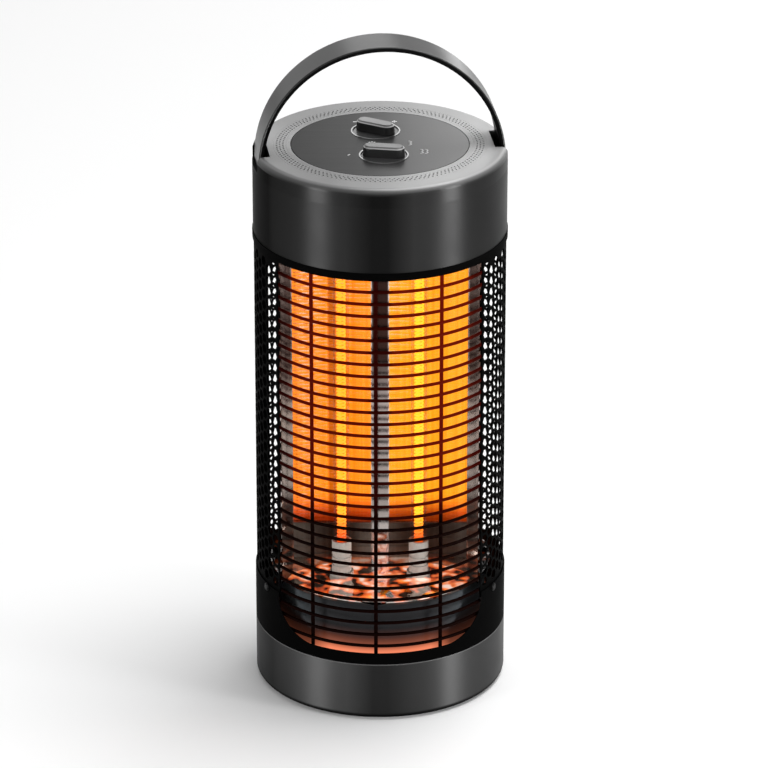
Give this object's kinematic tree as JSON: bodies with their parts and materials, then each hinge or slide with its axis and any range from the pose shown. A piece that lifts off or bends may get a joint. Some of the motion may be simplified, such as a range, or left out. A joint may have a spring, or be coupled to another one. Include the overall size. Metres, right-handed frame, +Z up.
{
  "type": "infrared patio heater",
  "caption": "Portable tower heater with glowing quartz tubes behind a wire guard, perforated sides, round base, knobs on top and a strap carry handle.",
  "frame": {"origin": "on the floor, under the middle of the round base", "axes": "+Z up along the body's axis, front window towards -Y, +X to the right seen from the front"},
  "size_m": [0.2, 0.2, 0.5361],
  "materials": {
    "base_metal": "satin gunmetal lacquer",
    "black_sheet": "black powder coat",
    "guard_wire": "black enamel on welded wire",
    "casing_paint": "dark charcoal satin paint",
    "cap_paint": "satin grey metallic paint",
    "panel_metal": "brushed gunmetal",
    "bezel_chrome": "polished",
    "knob_plastic": "dark grey gloss",
    "handle_paint": "satin dark grey lacquer",
    "mirror_metal": "polished reflector sheet",
    "drum_metal": "dark grey enamel",
    "quartz": "clear fused quartz",
    "hot_coil": "glowing resistance wire",
    "ceramic": "off-white steatite",
    "plain_steel": "zinc plated",
    "black_plastic": "moulded black",
    "pale_plastic": "moulded pale",
    "rubber": "black rubber"
  },
  "bodies": {
    "heater": {"base_ring": "base_metal", "bottom_plate": "black_plastic", "rubber_feet": "rubber", "base_screws": "plain_steel", "cord_inlet": "rubber", "tip_switch": "black_plastic", "deck_plate": "black_sheet", "terminal_block": "pale_plastic", "lower_drum": "drum_metal", "floor_dish": "mirror_metal", "sleeve_frame": "black_sheet", "screen_left": "black_sheet", "screen_right": "black_sheet", "sleeve_screws": "plain_steel", "guard_wires": "guard_wire", "guard_uprights": "guard_wire", "reflector": "mirror_metal", "ceiling_plate": "mirror_metal", "heat_shield": "black_sheet", "quartz_tube_left": "quartz", "quartz_tube_right": "quartz", "heating_coil_left": "hot_coil", "heating_coil_right": "hot_coil", "lower_ceramic_left": "ceramic", "lower_ceramic_right": "ceramic", "upper_ceramic_left": "ceramic", "upper_ceramic_right": "ceramic", "wiring_channel": "black_sheet", "thermal_cutout": "ceramic", "top_casing": "casing_paint", "top_cap": "cap_paint", "vent_ring": "cap_paint", "control_panel": "panel_metal", "front_bezel": "bezel_chrome", "rear_bezel": "bezel_chrome", "selector_switch": "pale_plastic", "thermostat_body": "pale_plastic", "control_nuts": "plain_steel", "handle_strap": "handle_paint", "handle_screws": "plain_steel"},
    "selector": {"front_knob": "knob_plastic", "front_shaft": "plain_steel"},
    "thermostat": {"rear_knob": "knob_plastic", "rear_shaft": "plain_steel"},
    "tip_button": {"tip_plunger": "pale_plastic"}
  },
  "joints": [
    {"name": "selector_turn", "type": "hinge", "parent": "heater", "child": "selector", "pos_m": [0.00299, -0.02432, 0.451], "axis": [0, 0, 1], "range_deg": [0, 180]},
    {"name": "thermostat_turn", "type": "hinge", "parent": "heater", "child": "thermostat", "pos_m": [-0.00348, 0.02839, 0.451], "axis": [0, 0, 1], "range_deg": [-98, 172]},
    {"name": "tip_button_slide", "type": "slide", "parent": "heater", "child": "tip_button", "axis": [0, 0, -1], "range_m": [0, 0.006], "stiffness_N_per_m": 80, "springref_m": 0.009}
  ]
}
